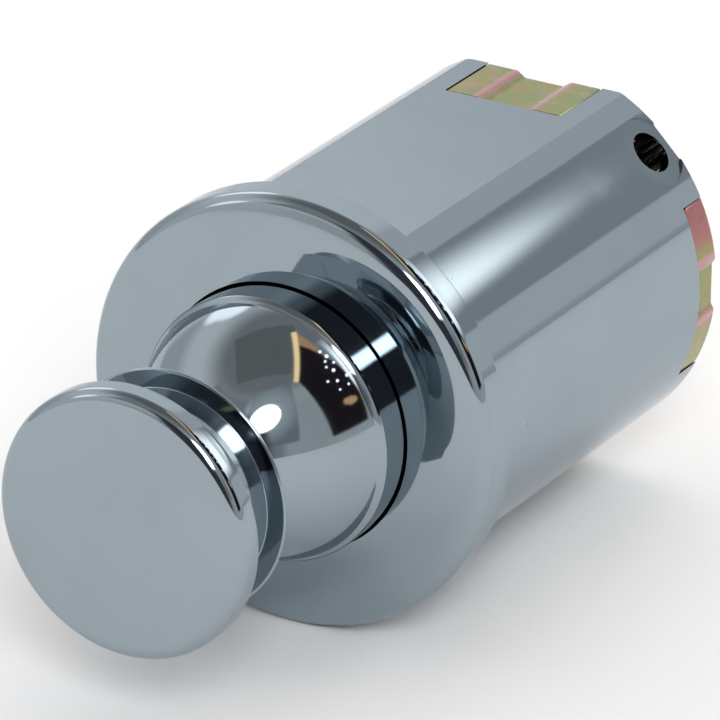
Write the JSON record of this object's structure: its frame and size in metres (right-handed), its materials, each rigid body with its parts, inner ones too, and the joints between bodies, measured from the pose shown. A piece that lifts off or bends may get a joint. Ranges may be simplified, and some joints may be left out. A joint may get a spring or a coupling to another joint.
{
  "type": "cabinet knob latch",
  "caption": "Round barrel latch for a cabinet door; pushing the mushroom knob in slides latch bolts out through the rear wall.",
  "frame": {"origin": "on the barrel's axis, in the rear face of the flange, which seats on the door's front", "axes": "+Y along the barrel to its rear end, so the knob points to -Y; +Z out of the flat along the barrel; +X to the right seen from the knob"},
  "size_m": [0.0276, 0.0496, 0.0276],
  "materials": {
    "chrome_barrel": "polished chrome plate",
    "chrome_knob": "polished chrome plate",
    "yellow_zinc": "iridescent yellow zinc plate",
    "bright_steel": "turned and zinc plated",
    "spring_steel": "drawn wire, lightly oiled",
    "black_rubber": "matt black rubber",
    "white_nylon": "natural nylon"
  },
  "bodies": {
    "housing": {"barrel_housing": "chrome_barrel", "front_seal": "black_rubber", "buffer_ring": "black_rubber", "guide_plate": "bright_steel", "spacer_posts": "bright_steel", "bridge_plate": "yellow_zinc", "bridge_plate_screws": "bright_steel", "return_spring": "spring_steel"},
    "knob_group": {"knob": "chrome_knob", "glide_ring": "white_nylon", "stop_washer": "white_nylon", "knob_spring": "spring_steel"},
    "cam_group": {"cam_plate": "yellow_zinc", "cam_cross_pin": "bright_steel", "spring_guide_rod": "bright_steel", "spring_seat": "bright_steel", "seat_clip": "spring_steel"},
    "bolt_upper": {"bolt_top": "yellow_zinc", "bolt_pin_top": "bright_steel"},
    "bolt_lower": {"bolt_bottom": "yellow_zinc", "bolt_pin_bottom": "bright_steel"}
  },
  "joints": [
    {"name": "knob_push", "type": "slide", "parent": "housing", "child": "knob_group", "axis": [0, 1, 0], "range_m": [0, 0.018], "stiffness_N_per_m": 250, "springref_m": -0.012, "deforming": ["knob_spring"]},
    {"name": "cam_slide", "type": "slide", "parent": "housing", "child": "cam_group", "axis": [0, 1, 0], "range_m": [0, 0.0036], "deforming": ["return_spring"]},
    {"name": "bolt_top_slide", "type": "slide", "parent": "housing", "child": "bolt_upper", "axis": [0, 0, 1], "range_m": [0, 0.0024]},
    {"name": "bolt_bottom_slide", "type": "slide", "parent": "housing", "child": "bolt_lower", "axis": [0, 0, -1], "range_m": [0, 0.0024]}
  ],
  "couplings": [
    {"joint": "cam_slide", "follows": "knob_push", "ratio": 0.2},
    {"joint": "bolt_top_slide", "follows": "knob_push", "ratio": 0.13333},
    {"joint": "bolt_bottom_slide", "follows": "knob_push", "ratio": 0.13333}
  ]
}
